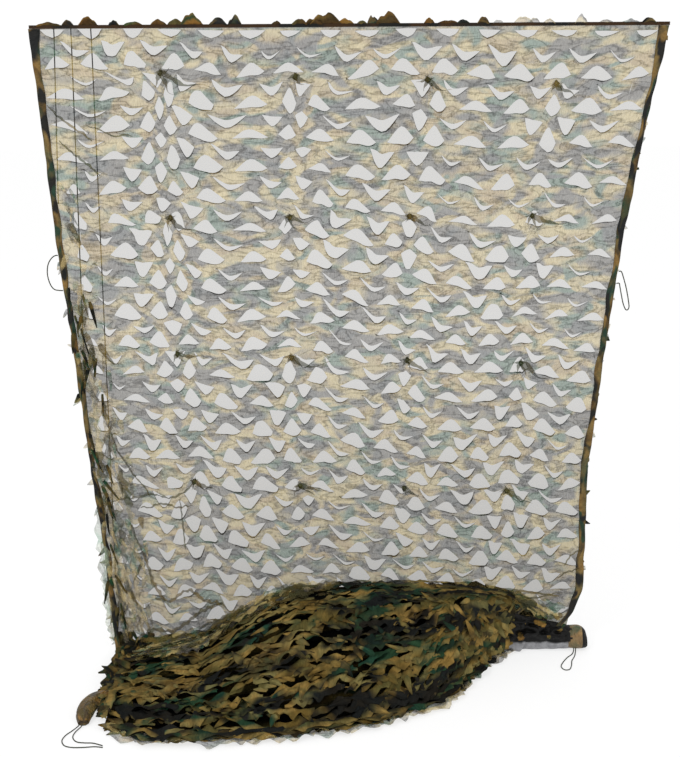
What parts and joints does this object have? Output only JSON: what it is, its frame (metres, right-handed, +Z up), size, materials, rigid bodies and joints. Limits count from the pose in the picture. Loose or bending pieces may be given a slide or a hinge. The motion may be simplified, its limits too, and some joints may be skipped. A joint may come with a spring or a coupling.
{
  "type": "camouflage net",
  "caption": "Sheer die-cut woodland net hung by its straight top edge, its lower length heaped in leafy folds on the floor.",
  "frame": {"origin": "middle of the straight top edge of the hung net, where a rail or line holds it", "axes": "+X along the top edge to the viewer's right, +Y away from the viewer, +Z up; the floor is 1.63 m below the origin"},
  "size_m": [1.504, 0.564, 1.6512],
  "materials": {
    "net_cloth": "sheer matte polyester, woodland print",
    "edge_tape": "satin woven tape, woodland print",
    "dark_cord": "matte twisted cord",
    "gather_thread": "matte knotted cloth and thread"
  },
  "bodies": {
    "root": {"net_cloth": "net_cloth", "head_tape": "edge_tape", "tape_left": "edge_tape", "tape_right": "edge_tape", "corner_left": "edge_tape", "corner_right": "edge_tape", "tie_left": "dark_cord", "tie_right": "dark_cord", "tie_corner_right": "dark_cord", "tie_corner_left_a": "dark_cord", "tie_corner_left_b": "dark_cord", "support_cord_1": "dark_cord", "support_cord_2": "dark_cord", "support_cord_3": "dark_cord", "gather_knot_1": "gather_thread", "gather_knot_2": "gather_thread", "gather_knot_3": "gather_thread", "gather_knot_4": "gather_thread", "gather_knot_5": "gather_thread", "gather_knot_6": "gather_thread", "gather_knot_7": "gather_thread", "gather_knot_8": "gather_thread", "gather_knot_9": "gather_thread", "gather_knot_10": "gather_thread", "gather_knot_11": "gather_thread", "gather_knot_12": "gather_thread", "gather_knot_13": "gather_thread", "gather_knot_14": "gather_thread", "gather_knot_15": "gather_thread", "gather_knot_16": "gather_thread"}
  },
  "joints": []
}
